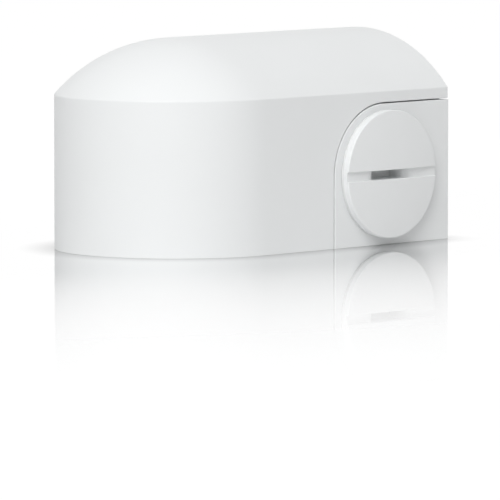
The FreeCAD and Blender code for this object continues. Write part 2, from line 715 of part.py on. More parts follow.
def make_plug(side):
    body = new_body(f"plug_{side_name(side)}")
    head_foot = half_width + dim.washer_thick
    head_top = head_foot + dim.head_thick
    tip = head_foot - dim.shank_length
    hollow = plug_root - dim.shank_wall
    hollow_end = head_foot - dim.end_wall
    head_radius = dim.head_diameter / 2
    crown_top = head_top + dim.head_crown
    crown = (head_radius * head_radius + dim.head_crown * dim.head_crown) / (2 * dim.head_crown)

    # Cupped shank and slightly crowned head, turned about the entry's axis.
    outline = new_sketch(body, "outline", "XY_Plane", v=entry_y, w=entry_z)
    points = [(hollow_end, ZERO), (hollow_end, hollow), (tip, hollow), (tip, plug_root - dim.tip_bevel),
              (tip + dim.tip_bevel, plug_root), (head_foot, plug_root), (head_foot, head_radius),
              (head_top, head_radius), (crown_top, ZERO)]
    crown_centre = (side * (crown_top - crown), ZERO)
    draw(outline, [(side * along, side * across) for along, across in points], {7: (crown_centre, crown, -1)})
    turn_about(body, outline, "H_Axis")

    def rim(edge):
        return flat_at(edge, "X", side * head_top) and edge.BoundBox.YLength > head_radius.value

    soften(body, "rim_round", dim.head_round, rim)

    # Housing of the key pocket and a rib across it, inside the cup.
    depth = dim.pocket_depth - dim.head_thick + dim.pocket_wall
    walls = new_sketch(body, "pocket_walls", "YZ_Plane", u=entry_y, v=entry_z, w=side * (head_foot - depth))
    reach = dim.pocket_length / 2 + dim.pocket_wall
    rise = dim.slot_width / 2 + dim.pocket_wall
    draw_box(walls, -reach, reach, -rise, rise)
    extrude(body, walls, depth, back=side < 0)
    rib = new_sketch(body, "rib", "YZ_Plane", u=entry_y, v=entry_z, w=side * (head_foot - depth))
    half_rib = dim.pocket_wall / 2
    draw_box(rib, -half_rib, half_rib, -(hollow + half_rib), hollow + half_rib)
    extrude(body, rib, depth, back=side < 0)

    # Coin slot and the round-mouthed key pocket in its floor, cut as one profile.
    slot = new_sketch(body, "slot", "XY_Plane", v=entry_y, w=entry_z)
    slot_floor = head_top - dim.slot_depth
    mouth_foot = slot_floor - dim.pocket_mouth
    pocket_floor = head_top - dim.pocket_depth
    half_pocket = dim.pocket_length / 2
    half_mouth = half_pocket + dim.pocket_mouth
    beyond = crown_top + OUTSIDE
    points = [(beyond, -head_radius), (slot_floor, -head_radius), (slot_floor, -half_mouth),
              (mouth_foot, -half_pocket), (pocket_floor, -half_pocket), (pocket_floor, half_pocket),
              (mouth_foot, half_pocket), (slot_floor, half_mouth), (slot_floor, head_radius),
              (beyond, head_radius)]
    arcs = {number: ((side * mouth_foot, side * middle), dim.pocket_mouth, 1)
            for number, middle in ((2, -half_mouth), (6, half_mouth))}
    draw(slot, [(side * along, side * across) for along, across in points], arcs)
    extrude(body, slot, dim.slot_width, cut=True, both=True)

    def slot_edge(edge):
        box = edge.BoundBox
        along_slot = near(abs(box.ZMin - entry_z.value), dim.slot_width / 2) and box.ZLength < SHORTEST
        return along_slot and min(abs(box.XMin), abs(box.XMax)) > head_top.value

    soften(body, "slot_round", dim.slot_round, slot_edge)

    # Pipe thread.
    crest_half = crest_flat / 2
    foot_half = crest_half + (dim.thread_depth + dim.thread_sink) * flank
    add_thread(body, side, plug_thread_start, dim.thread_turns, plug_root - dim.thread_sink, plug_crest,
               foot_half, crest_half, cut=False)
    return body


def make_plug_washer(side):
    body = new_body(f"plug_washer_{side_name(side)}")
    ring = new_sketch(body, "ring", "YZ_Plane", w=side * half_width)
    draw_circle(ring, entry_y, entry_z, dim.head_diameter / 2 - dim.rubber_fit)
    draw_circle(ring, entry_y, entry_z, entry_groove + dim.thread_fit)
    extrude(body, ring, dim.washer_thick, back=side < 0)
    return body


def make_cover_screw(side):
    body = new_body(f"cover_screw_{side_name(side)}")
    place = side * dim.screw_spacing / 2
    outline = new_sketch(body, "outline", "XY_Plane", u=place, w=dim.screw_height)
    head_top = screw_under_head + dim.screw_head_thick
    shank = dim.screw_size / 2
    tip = screw_under_head - dim.screw_length
    points = [(ZERO, tip), (shank - dim.screw_bevel, tip), (shank, tip + dim.screw_bevel),
              (shank, screw_under_head), (dim.screw_head / 2, screw_under_head),
              (dim.screw_head / 2, head_top), (ZERO, head_top)]
    draw(outline, points)
    turn_about(body, outline, "V_Axis")

    def rim(edge):
        return flat_at(edge, "Y", head_top) and edge.BoundBox.XLength > dim.screw_size.value

    soften(body, "rim_round", dim.screw_head_round, rim)
    key = new_sketch(body, "key", "XZ_Plane", w=-head_top)
    flat = dim.hex_size / 2
    corner = dim.hex_size / math.sqrt(3.0)
    points = [(place + corner, dim.screw_height), (place + corner / 2, dim.screw_height + flat),
              (place - corner / 2, dim.screw_height + flat), (place - corner, dim.screw_height),
              (place - corner / 2, dim.screw_height - flat), (place + corner / 2, dim.screw_height - flat)]
    draw(key, points)
    extrude(body, key, dim.hex_depth, cut=True)
    return body


def make_screw_seal(side):
    body = new_body(f"screw_seal_{side_name(side)}")
    place = side * dim.screw_spacing / 2
    ring = new_sketch(body, "ring", "XZ_Plane", w=-screw_under_head)
    draw_circle(ring, place, dim.screw_height, dim.screw_head / 2)
    draw_circle(ring, place, dim.screw_height, dim.screw_size / 2 + dim.thread_play)
    extrude(body, ring, dim.ring_thick)
    return body


def make_inserts(label, places, face, radius, bore, length):
    """Threaded brass inserts, pressed in from y = face."""
    body = new_body(label)
    body.AllowCompound = True
    sleeve = new_sketch(body, "sleeves", "XZ_Plane", w=-face)
    for u, v in places:
        draw_circle(sleeve, u, v, radius)
        draw_circle(sleeve, u, v, bore)
    extrude(body, sleeve, length)
    return body


def make_cover_inserts():
    places = [(side * dim.screw_spacing / 2, dim.screw_height) for side in (1, -1)]
    bore = dim.screw_size / 2 + dim.thread_play
    return make_inserts("cover_inserts", places, boss_start, dim.cover_insert_size / 2, bore,
                        dim.cover_insert_length)


def make_bracket_inserts():
    places = [(side * dim.bracket_width / 2, level) for side in (1, -1)
              for level in (dim.bracket_bottom, dim.bracket_bottom + dim.bracket_height)]
    return make_inserts("bracket_inserts", places, rear - dim.bracket_sink, dim.bracket_insert_size / 2,
                        dim.bracket_thread / 2, dim.bracket_insert_length)


def make_cable_grommet():
    body = new_body("cable_grommet")
    outline = new_sketch(body, "outline", "XY_Plane", w=dim.cable_height)
    bore = dim.cable_bore / 2
    neck = dim.cable_opening / 2 - dim.rubber_fit
    flange = dim.cable_opening / 2 + dim.flange_reach
    seat = rear - dim.grommet_flange
    inner = rear_inner - dim.grommet_inner
    draw(outline, [(bore, inner), (flange, inner), (flange, rear_inner), (neck, rear_inner), (neck, seat),
                   (flange, seat), (flange, rear), (bore, rear)])
    turn_about(body, outline, "V_Axis")
    slit = new_sketch(body, "slit", "XZ_Plane", w=-(rear + OUTSIDE))
    half_slit = dim.cable_slit / 2
    draw_box(slit, -half_slit, half_slit, dim.cable_height - flange - OUTSIDE, dim.cable_height)
    extrude(body, slit, dim.rear_wall + 3 * OUTSIDE, cut=True)
    return body


def make_grommet_clamp():
    body = new_body("grommet_clamp")
    face = rear_inner - dim.grommet_inner
    disc = new_sketch(body, "disc", "XZ_Plane", w=-face)
    draw_circle(disc, ZERO, dim.cable_height, dim.cable_opening / 2 + dim.flange_reach)
    extrude(body, disc, dim.clamp_thick)
    ears = new_sketch(body, "ears", "XZ_Plane", w=-face)
    reach = dim.clamp_spacing / 2
    low = dim.cable_height - dim.clamp_ear
    high = dim.cable_height + dim.clamp_ear
    points = [(-reach, low), (reach, low), (reach, high), (-reach, high)]
    ends = {1: ((reach, dim.cable_height), dim.clamp_ear, 1),
            3: ((-reach, dim.cable_height), dim.clamp_ear, 1)}
    draw(ears, points, ends)
    extrude(body, ears, dim.clamp_thick)
    window = new_sketch(body, "window", "XZ_Plane", w=-face)
    draw_circle(window, ZERO, dim.cable_height, dim.clamp_window / 2)
    for side in (1, -1):
        draw_circle(window, side * reach, dim.cable_height, dim.clamp_screw_size / 2 + dim.rubber_fit)
    extrude(body, window, dim.clamp_thick, cut=True)
    return body


def make_clamp_screws():
    body = new_body("clamp_screws")
    body.AllowCompound = True
    face = rear_inner - dim.grommet_inner - dim.clamp_thick
    places = [side * dim.clamp_spacing / 2 for side in (1, -1)]
    heads = new_sketch(body, "heads", "XZ_Plane", w=-face)
    for place in places:
        draw_circle(heads, place, dim.cable_height, dim.clamp_screw_head / 2)
    extrude(body, heads, dim.clamp_screw_head_thick)
    shanks = new_sketch(body, "shanks", "XZ_Plane", w=-face)
    for place in places:
        draw_circle(shanks, place, dim.cable_height, dim.clamp_screw_size / 2)
    extrude(body, shanks, dim.clamp_thick + dim.clamp_screw_reach - dim.rubber_fit, back=True)

    def rim(edge):
        at_top = flat_at(edge, "Y", face - dim.clamp_screw_head_thick)
        return at_top and edge.BoundBox.XLength > dim.clamp_screw_size.value

    soften(body, "rim_round", dim.clamp_head_round, rim)
    cross = new_sketch(body, "cross", "XZ_Plane", w=-(face - dim.clamp_screw_head_thick))
    arm = dim.cross_reach / 2
    thin = dim.cross_width / 2
    for place in places:
        corners = [(arm, -thin), (arm, thin), (thin, thin), (thin, arm), (-thin, arm), (-thin, thin),
                   (-arm, thin), (-arm, -thin), (-thin, -thin), (-thin, -arm), (thin, -arm), (thin, -thin)]
        draw(cross, [(place + u, dim.cable_height + v) for u, v in corners])
    extrude(body, cross, dim.cross_depth, cut=True, back=True)
    return body


def make_wall_entry_bung():
    body = new_body("wall_entry_bung")
    outline = new_sketch(body, "outline", "YZ_Plane", u=dim.wall_entry_place)
    neck = dim.wall_entry / 2 - dim.rubber_fit
    flange = dim.wall_entry / 2 + dim.flange_reach
    dish = dim.bung_dish / 2
    top = dim.floor_wall + dim.bung_top
    dish_floor = top - dim.bung_dish_depth
    draw(outline, [(ZERO, ZERO), (flange, ZERO), (flange, dim.grommet_flange), (neck, dim.grommet_flange),
                   (neck, dim.floor_wall), (flange, dim.floor_wall), (flange, top), (dish, top),
                   (dish, dish_floor), (ZERO, dish_floor)])
    turn_about(body, outline, "V_Axis")
    return body


pieces = [make_base(), make_cover(), make_cover_seal(), make_wall_gasket(), make_rear_gasket(),
          make_cover_inserts(), make_bracket_inserts(), make_cable_grommet(), make_grommet_clamp(),
          make_clamp_screws(), make_wall_entry_bung()]
for hand in (1, -1):
    pieces += [make_side_seal(hand), make_plug(hand), make_plug_washer(hand), make_cover_screw(hand),
               make_screw_seal(hand)]
doc.recompute()

for item in doc.Objects:
    if "Invalid" in item.State or "Error" in item.State:
        raise RuntimeError(f"{item.Label} did not build: {item.State}")
os.makedirs("parts", exist_ok=True)
for piece in pieces:
    shape = piece.Shape
    if shape.isNull() or not shape.isValid() or not shape.Solids:
        raise RuntimeError(f"{piece.Label} has no valid shape")
    print(f"{piece.Label}: {len(shape.Solids)} solid(s), {shape.Volume / 1000:.3f} cm3")
    shape.exportStep(f"parts/{piece.Label}.step")
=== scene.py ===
"""Looks of a domed camera conduit adapter, dressed around its packed construction model.

Everything is in metres and in the construction's own frame: Z up from the wall face, Y towards the
flat camera face, X across to the right conduit plug.
"""

import json
import logging
import math
from dataclasses import dataclass, field
from enum import Enum
from typing import Any, Callable, Optional, Union

import bmesh
import bpy
from mathutils import Matrix, Vector

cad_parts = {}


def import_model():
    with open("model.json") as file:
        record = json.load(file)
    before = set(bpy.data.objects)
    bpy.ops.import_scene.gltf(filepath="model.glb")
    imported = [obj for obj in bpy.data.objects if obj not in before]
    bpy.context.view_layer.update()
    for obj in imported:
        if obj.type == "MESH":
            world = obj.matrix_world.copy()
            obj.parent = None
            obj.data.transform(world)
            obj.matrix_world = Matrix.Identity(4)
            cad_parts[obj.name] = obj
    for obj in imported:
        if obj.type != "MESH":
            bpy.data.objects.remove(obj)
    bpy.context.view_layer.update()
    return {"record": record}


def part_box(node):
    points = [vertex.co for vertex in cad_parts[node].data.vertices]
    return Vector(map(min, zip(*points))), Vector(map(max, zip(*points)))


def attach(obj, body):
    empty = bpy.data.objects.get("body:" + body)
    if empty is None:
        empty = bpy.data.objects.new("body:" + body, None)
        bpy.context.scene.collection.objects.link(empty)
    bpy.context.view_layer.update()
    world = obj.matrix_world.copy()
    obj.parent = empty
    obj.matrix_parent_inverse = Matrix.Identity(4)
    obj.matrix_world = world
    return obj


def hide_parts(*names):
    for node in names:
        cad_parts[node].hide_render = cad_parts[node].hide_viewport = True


log = logging.getLogger("adapter")

MM = 0.001
FULL_TURN = 2 * math.pi
SHARP_DEGREES = 32  # an edge that turns by more than this stays sharp
ROD_WELD = 0.001 * MM  # points of a rod that are closer than this are one
ROD_END_ROWS = 3  # the rows that close a rod's two ends and finish its last turn
MIX_FACTOR, MIX_LOW, MIX_HIGH, MIX_RESULT = 0, 6, 7, 2  # a Mix node's sockets for colours

Material = bpy.types.Material
Object = bpy.types.Object
Socket = bpy.types.NodeSocket
Colour = tuple[float, float, float]
Stretch = tuple[float, float, float]
Operand = Union["Field", Socket, float]


class Field:
    """A number in a node tree. Python's operators on it add Math nodes."""

    def __init__(self, graph: "Graph", socket: Socket) -> None:
        """Wraps one output socket."""
        self.graph = graph
        self.socket = socket

    def math(self, operation: str, *operands: Operand) -> "Field":
        """Adds one Math node.

        Args:
            operation: the Math node's operation.
            operands: what goes into its sockets, in order.

        Returns:
            The node's result.
        """
        made = self.graph.node("ShaderNodeMath", {"operation": operation},
                               dict(enumerate(operands)))
        return self.graph.number(made)

    def __add__(self, other: Operand) -> "Field":
        """self + other."""
        return self.math("ADD", self, other)

    def __radd__(self, other: float) -> "Field":
        """other + self."""
        return self.math("ADD", other, self)

    def __sub__(self, other: Operand) -> "Field":
        """self - other."""
        return self.math("SUBTRACT", self, other)

    def __rsub__(self, other: float) -> "Field":
        """other - self."""
        return self.math("SUBTRACT", other, self)

    def __mul__(self, other: Operand) -> "Field":
        """self * other."""
        return self.math("MULTIPLY", self, other)

    def __truediv__(self, other: Operand) -> "Field":
        """self / other."""
        return self.math("DIVIDE", self, other)

    def __gt__(self, other: Operand) -> "Field":
        """1 where self > other, else 0."""
        return self.math("GREATER_THAN", self, other)

    def __lt__(self, other: Operand) -> "Field":
        """1 where self < other, else 0."""
        return self.math("LESS_THAN", self, other)

    def __abs__(self) -> "Field":
        """The size of self without its sign."""
        return self.math("ABSOLUTE", self)

    def at_least(self, other: Operand) -> "Field":
        """The larger of self and other."""
        return self.math("MAXIMUM", self, other)

    def at_most(self, other: Operand) -> "Field":
        """The smaller of self and other."""
        return self.math("MINIMUM", self, other)

    def clamped(self) -> "Field":
        """Self, held between 0 and 1."""
        return self.at_least(0.0).at_most(1.0)

    def centred(self) -> "Field":
        """How far self, which runs from 0 to 1, is above its middle."""
        return self - 0.5

    def zigzag(self) -> "Field":
        """A wave that falls from 1 to 0 and climbs back, once in each whole step of self."""
        return abs(self.math("FRACT", self).centred()) * 2

    def root(self) -> "Field":
        """The square root of self."""
        return self.math("SQRT", self)

    def exponential(self) -> "Field":
        """e to the power of self."""
        return self.math("EXPONENT", self)

    def cosine(self) -> "Field":
        """The cosine of self, in radians."""
        return self.math("COSINE", self)

    def sine(self) -> "Field":
        """The sine of self, in radians."""
        return self.math("SINE", self)


class Graph:
    """A shader or geometry node tree that is wired by expressions."""

    def __init__(self, tree: bpy.types.NodeTree) -> None:
        """Takes the tree over, with whatever nodes it has."""
        self.tree = tree

    def node(self, kind: str, settings: Optional[dict[str, Any]] = None,
             inputs: Optional[dict[Union[str, int], Any]] = None) -> bpy.types.Node:
        """Adds a node.

        Args:
            kind: the node's type.
            settings: its properties, which are set first.
            inputs: values, fields or sockets for its inputs, by name or place.

        Returns:
            The new node.
        """
        made = self.tree.nodes.new(kind)
        for name, value in (settings or {}).items():
            setattr(made, name, value)
        for key, value in (inputs or {}).items():
            socket = made.inputs[key]
            if isinstance(value, Field):
                value = value.socket
            if isinstance(value, Socket):
                self.tree.links.new(value, socket)
            else:
                socket.default_value = value
        return made

    def number(self, node: bpy.types.Node, output: Union[str, int] = 0) -> Field:
        """One output of a node, as a number to calculate with."""
        return Field(self, node.outputs[output])

    def parts(self, vector: Socket) -> tuple[Field, Field, Field]:
        """The X, Y and Z of a vector."""
        split = self.node("ShaderNodeSeparateXYZ", inputs={0: vector})
        return self.number(split, 0), self.number(split, 1), self.number(split, 2)

    def vector(self, x: Operand = 0.0, y: Operand = 0.0, z: Operand = 0.0) -> Socket:
        """The vector with these parts."""
        return self.node("ShaderNodeCombineXYZ", inputs={0: x, 1: y, 2: z}).outputs[0]

    def blend(self, factor: Operand, low: Any, high: Any) -> Socket:
        """A colour between two colours.

        Args:
            factor: 0 for the low colour, 1 for the high one.
            low: a colour with alpha, or a socket.
            high: a colour with alpha, or a socket.

        Returns:
            The mixed colour's socket.
        """
        made = self.node("ShaderNodeMix", {"data_type": "RGBA"},
                         {MIX_FACTOR: factor, MIX_LOW: low, MIX_HIGH: high})
        return made.outputs[MIX_RESULT]

    def looked_at(self) -> Field:
        """1 for rays that look at something, directly or in gloss or glass, and 0 for the rest."""
        rays = self.node("ShaderNodeLightPath")
        straight = self.number(rays, "Is Camera Ray")
        mirrored = self.number(rays, "Is Glossy Ray")
        through = self.number(rays, "Is Transmission Ray")
        return (straight + mirrored + through).at_most(1.0)


class Surface(Graph):
    """A material's tree, with its object coordinates and the patterns that finishes share."""

    def __init__(self, name: str) -> None:
        """Makes an empty material of that name."""
        self.material = bpy.data.materials.new(name)
        self.material.use_nodes = True
        super().__init__(self.material.node_tree)
        self.tree.nodes.clear()
        self.output = self.node("ShaderNodeOutputMaterial")
        self.place = self.node("ShaderNodeTexCoord").outputs["Object"]

    def noise(self, grain: float, detail: float, stretch: Optional[Stretch] = None) -> Field:
        """Noise on object coordinates.

        Args:
            grain: the size of its patches, in metres.
            detail: how many finer layers it has.
            stretch: how much finer it runs along X, Y and Z, if not alike.

        Returns:
            A field from 0 to 1.
        """
        place = self.place
        if stretch is not None:
            place = self.node("ShaderNodeMapping",
                              inputs={"Vector": place, "Scale": stretch}).outputs[0]
        return self.number(self.node("ShaderNodeTexNoise", inputs={
            "Vector": place, "Scale": 1 / grain, "Detail": detail}))

    def cells(self, size: float) -> Field:
        """How far a point is from the middle of its cell, in cells, for foam of that cell size."""
        made = self.node("ShaderNodeTexVoronoi", inputs={"Vector": self.place, "Scale": 1 / size})
        return self.number(made, "Distance")

    def relief(self, height: Field, depth: float, before: Optional[Socket] = None) -> Socket:
        """A normal with a relief on it.

        Args:
            height: the relief, from 0 to 1.
            depth: how deep it is, in metres.
            before: a normal that it is added to.

        Returns:
            The normal's socket.
        """
        inputs = {"Height": height, "Distance": depth}
        if before is not None:
            inputs["Normal"] = before
        return self.node("ShaderNodeBump", inputs=inputs).outputs[0]

    def mix(self, share: Operand, first: bpy.types.Node, second: bpy.types.Node) -> bpy.types.Node:
        """Two shaders, mixed, with that share of the second one."""
        return self.node("ShaderNodeMixShader",
                         inputs={0: share, 1: first.outputs[0], 2: second.outputs[0]})

    def end(self, shader: bpy.types.Node) -> Material:
        """Ends the tree in that shader and gives the material."""
        self.tree.links.new(shader.outputs[0], self.output.inputs["Surface"])
        return self.material

    def finish(self, inputs: dict[str, Any]) -> Material:
        """Ends the tree in one Principled shader with these inputs and gives the material."""
        return self.end(self.node("ShaderNodeBsdfPrincipled", inputs=inputs))


def opaque(colour: Colour, level: float = 1.0) -> tuple[float, float, float, float]:
    """A colour with alpha, brightened or darkened by level."""
    return (colour[0] * level, colour[1] * level, colour[2] * level, 1.0)


@dataclass(frozen=True)
class MouldedPlastic:
    """Satin injection-moulded plastic: a fine sparked grain over slow waves of flow and gloss."""

    name: str
    colour: Colour
    roughness: float
    grain: float = 0.22 * MM
    grain_depth: float = 0.004 * MM
    flow: float = 18 * MM
    flow_depth: float = 0.02 * MM
    shade_change: float = 0.012
    gloss_change: float = 0.05
    ior: float = 1.5

    def build(self) -> Material:
        """Makes the material."""
        surface = Surface(self.name)
        flow = surface.noise(self.flow, detail=1.0)
        grain = surface.noise(self.grain, detail=3.0)
        tone = surface.blend(flow, opaque(self.colour, 1 - self.shade_change),
                             opaque(self.colour, 1 + self.shade_change))
        waves = surface.relief(flow, self.flow_depth)
        roughness = (self.roughness + flow.centred() * self.gloss_change
                     + grain.centred() * self.gloss_change)
        return surface.finish({"Base Color": tone, "Roughness": roughness, "IOR": self.ior,
                               "Normal": surface.relief(grain, self.grain_depth, waves)})


@dataclass(frozen=True)
class Elastomer:
    """Moulded rubber or silicone: matt, with a soft bloom and a fine pitted skin."""

    name: str
    colour: Colour
    roughness: float = 0.62
    gloss_change: float = 0.16
    bloom: Colour = (0.12, 0.12, 0.125)
    bloom_share: float = 0.36
    patch: float = 3.5 * MM
    pits: float = 0.3 * MM
    pit_depth: float = 0.012 * MM
    ior: float = 1.48

    def build(self) -> Material:
        """Makes the material."""
        surface = Surface(self.name)
        patch = surface.noise(self.patch, detail=4.0)
        pits = surface.noise(self.pits, detail=2.0)
        tone = surface.blend(patch * patch * self.bloom_share, opaque(self.colour),
                             opaque(self.bloom))
        roughness = self.roughness + patch.centred() * self.gloss_change
        return surface.finish({"Base Color": tone, "Roughness": roughness, "IOR": self.ior,
                               "Normal": surface.relief(pits, self.pit_depth)})


@dataclass(frozen=True)
class ClosedCellFoam:
    """Die-cut closed-cell foam: small open pores in its cut faces, with painted shade in them, and
    a dusty, uneven tone.
    """

    name: str
    colour: Colour
    roughness: float = 0.9
    gloss_change: float = 0.1
    cell: float = 0.32 * MM
    coarse_cell: float = 0.736 * MM
    cell_depth: float = 0.09 * MM
    fine_share: float = 0.7
    coarse_share: float = 0.5
    patch: float = 4 * MM
    pore_shade_share: float = 0.7
    darkest: float = 0.45
    lightest: float = 1.6
    ior: float = 1.4

    def build(self) -> Material:
        """Makes the material."""
        surface = Surface(self.name)
        fine = surface.cells(self.cell)
        coarse = surface.cells(self.coarse_cell)
        patch = surface.noise(self.patch, detail=3.0)
        pores = (fine * self.fine_share + coarse * self.coarse_share).at_most(1.0)
        # Painted shade: the pores' hollows are painted darker, mixed with a random uneven tone from
        # the patches.
        tone = surface.blend(pores * self.pore_shade_share + patch * (1 - self.pore_shade_share),
                             opaque(self.colour, self.darkest), opaque(self.colour, self.lightest))
        roughness = self.roughness + patch.centred() * self.gloss_change
        return surface.finish({"Base Color": tone, "Roughness": roughness, "IOR": self.ior,
                               "Normal": surface.relief(pores, self.cell_depth)})


@dataclass(frozen=True)
class TurnedMetal:
    """Machined metal: rings left by the turning tool around each axis, with faint clouds.

    The axes run along Y, at plus and minus axes[0] in X and at axes[1] in Z.
    """

    name: str
    colour: Colour
    tarnish: Colour
    roughness: float
    axes: tuple[float, float]
    tarnish_share: float = 0.5
    patch: float = 1.6 * MM
    patch_gloss: float = 0.2
    ring: float = 0.12 * MM
    ring_depth: float = 0.0035 * MM
    ring_share: float = 0.6
    scratch_gloss: float = 0.12
    scratch_stretch: Stretch = (1.0, 6.0, 1.0)

    def build(self) -> Material:
        """Makes the material."""
        surface = Surface(self.name)
        x, y, z = surface.parts(surface.place)
        across = abs(x) - self.axes[0]
        along = z - self.axes[1]
        radius = (across * across + along * along).root()
        rings = ((radius + y) / self.ring * FULL_TURN).sine() * 0.5 + 0.5
        patch = surface.noise(self.patch, detail=4.0)
        scratch = surface.noise(self.ring, detail=2.0, stretch=self.scratch_stretch)
        tone = surface.blend(patch * self.tarnish_share, opaque(self.colour), opaque(self.tarnish))
        roughness = (self.roughness + patch.centred() * self.patch_gloss
                     + scratch.centred() * self.scratch_gloss)
        height = rings * self.ring_share + scratch * (1 - self.ring_share)
        return surface.finish({"Base Color": tone, "Metallic": 1.0, "Roughness": roughness,
                               "Normal": surface.relief(height, self.ring_depth)})


class ShapeTree(Graph):
    """A geometry node tree with named inputs, applied to an object and turned into a plain mesh."""

    def __init__(self, name: str, sizes: dict[str, float]) -> None:
        """Makes the tree.

        Args:
            name: its name.
            sizes: the names of its size inputs, and their values in metres or plain numbers.
        """
        tree = bpy.data.node_groups.new(name, "GeometryNodeTree")
        super().__init__(tree)
        self.sizes = sizes
        self.identifiers: dict[str, str] = {}
        tree.interface.new_socket("Geometry", in_out="INPUT", socket_type="NodeSocketGeometry")
        tree.interface.new_socket("Geometry", in_out="OUTPUT", socket_type="NodeSocketGeometry")
        for label in sizes:
            made = tree.interface.new_socket(label, in_out="INPUT", socket_type="NodeSocketFloat")
            self.identifiers[label] = made.identifier
        made = tree.interface.new_socket("Material", in_out="INPUT",
                                         socket_type="NodeSocketMaterial")
        self.identifiers["Material"] = made.identifier
        self.given = self.node("NodeGroupInput")
        self.result = self.node("NodeGroupOutput")

    def size(self, label: str) -> Field:
        """The named input, as a number."""
        return self.number(self.given, label)

    def rod(self, radius: Callable[[Field, Field], Field], start: Operand, end: Field,
            rows: int, sides: int) -> Socket:
        """A closed rod along Z whose radius follows a rule.

        Args:
            radius: gives the radius from the share of a turn and the height.
            start: the height of its lower end.
            end: the height of its upper end.
            rows: how many rows of points it has along Z.
            sides: how many sides it has around Z.

        Returns:
            The rod's geometry.
        """
        grid = self.node("GeometryNodeMeshGrid", inputs={
            "Size X": 1.0, "Size Y": 1.0, "Vertices X": sides + 1, "Vertices Y": rows})
        across, along, _ = self.parts(self.node("GeometryNodeInputPosition").outputs[0])
        turn = across + 0.5
        row = (along + 0.5) * (rows - 1)
        # The first and the last row shrink onto the axis at the height of their neighbours.
        height = ((row - 1.0) / (rows - 3.0)).clamped() * (end - start) + start
        inside = (row > 0.5) * (row < rows - 1.5)
        reach = radius(turn, height) * inside
        angle = turn * FULL_TURN
        place = self.vector(reach * angle.cosine(), reach * angle.sine(), height)
        moved = self.node("GeometryNodeSetPosition",
                          inputs={"Geometry": grid.outputs["Mesh"], "Position": place})
        welded = self.node("GeometryNodeMergeByDistance",
                           inputs={"Geometry": moved.outputs[0], "Distance": ROD_WELD})
        return welded.outputs[0]

    def combine(self, operation: str, first: Socket, *others: Socket) -> Socket:
        """Joins shapes with, or cuts them from, the first one.

        Args:
            operation: UNION or DIFFERENCE.
            first: the shape that is kept.
            others: the shapes that are joined to it or cut from it.

        Returns:
            The result's geometry.
        """
        made = self.node("GeometryNodeMeshBoolean", {"operation": operation, "solver": "EXACT"})
        kept = "Mesh 1" if operation == "DIFFERENCE" else "Mesh 2"
        self.tree.links.new(first, made.inputs[kept])
        for other in others:
            self.tree.links.new(other, made.inputs["Mesh 2"])
        return made.outputs["Mesh"]

    def end(self, geometry: Socket) -> None:
        """Realizes the geometry, gives it the material and ends the tree."""
        real = self.node("GeometryNodeRealizeInstances", inputs={"Geometry": geometry})
        dressed = self.node("GeometryNodeSetMaterial", inputs={
            "Geometry": real.outputs[0], "Material": self.given.outputs["Material"]})
        self.tree.links.new(dressed.outputs[0], self.result.inputs[0])

    def make(self, name: str, start: bpy.types.Mesh, material: Material, place: Matrix) -> Object:
        """Runs the tree on a mesh.

        Args:
            name: the new object's name.
            start: the mesh that goes into the tree.
            material: the finish.
            place: where the result goes; it is applied to the mesh.

        Returns:
            An object at the origin with a plain mesh.
        """
        made = link(name, start)
        modifier = made.modifiers.new(self.tree.name, "NODES")
        modifier.node_group = self.tree
        for label, value in self.sizes.items():
            modifier[self.identifiers[label]] = value
        modifier[self.identifiers["Material"]] = material
        return settle(made, place)


def link(name: str, data: bpy.types.ID) -> Object:
    """An object of that name in the scene, which holds a mesh, a lamp or a camera."""
    made = bpy.data.objects.new(name, data)
    bpy.context.scene.collection.objects.link(made)
    return made


def settle(made: Object, place: Matrix = Matrix.Identity(4)) -> Object:
    """Applies an object's modifiers, then a placement, to its mesh, and shades it by edge angle.

    Args:
        made: the object, whose own place is the origin.
        place: where its mesh goes.

    Returns:
        The same object.
    """
    bpy.context.view_layer.update()
    evaluated = made.evaluated_get(bpy.context.evaluated_depsgraph_get())
    shape = bpy.data.meshes.new_from_object(evaluated)
    made.modifiers.clear()
    shape.transform(place)
    made.data = shape
    shape.shade_smooth()
    shape.set_sharp_from_angle(angle=math.radians(SHARP_DEGREES))
    return made


def plain_mesh(name: str, shape: bmesh.types.BMesh) -> bpy.types.Mesh:
    """A mesh of that name with the shape, which is then freed."""
    mesh = bpy.data.meshes.new(name)
    shape.to_mesh(mesh)
    shape.free()
    return mesh


def point_mesh(name: str, points: list[Vector]) -> bpy.types.Mesh:
    """A mesh of loose points, on which a tree sets its copies."""
    mesh = bpy.data.meshes.new(name)
    mesh.from_pydata([tuple(p) for p in points], [], [])
    return mesh


def lathe(name: str, outline: list[tuple[float, float]], sides: int) -> bpy.types.Mesh:
    """Turns an outline round the Z axis.

    Args:
        name: the mesh's name.
        outline: radius and height of each point, from the axis and back to it.
        sides: how many sides it has.

    Returns:
        A closed mesh with outward faces.
    """
    shape = bmesh.new()
    rings = []
    for radius, height in outline:
        angles = [FULL_TURN * side / sides for side in range(sides if radius else 1)]
        rings.append([shape.verts.new((radius * math.cos(a), radius * math.sin(a), height))
                      for a in angles])
    for low, high in zip(rings, rings[1:]):
        for side in range(sides):
            patch = [low[side % len(low)], low[(side + 1) % len(low)],
                     high[(side + 1) % len(high)], high[side % len(high)]]
            shape.faces.new(list(dict.fromkeys(patch)))
    bmesh.ops.recalc_face_normals(shape, faces=shape.faces)
    return plain_mesh(name, shape)


def rounded_disc(radius: float, thick: float, rounding: float,
                 steps: int = 5) -> list[tuple[float, float]]:
    """The outline of a disc that stands on height 0, with its upper rim rounded.

    Args:
        radius: the disc's radius.
        thick: its thickness.
        rounding: the rim's radius.
        steps: how many steps the rim takes.

    Returns:
        Radius and height of each point.
    """
    outline = [(0.0, 0.0), (radius, 0.0)]
    for step in range(steps + 1):
        angle = math.pi / 2 * step / steps
        outline.append((radius - rounding + rounding * math.cos(angle),
                        thick - rounding + rounding * math.sin(angle)))
    return outline + [(0.0, thick)]


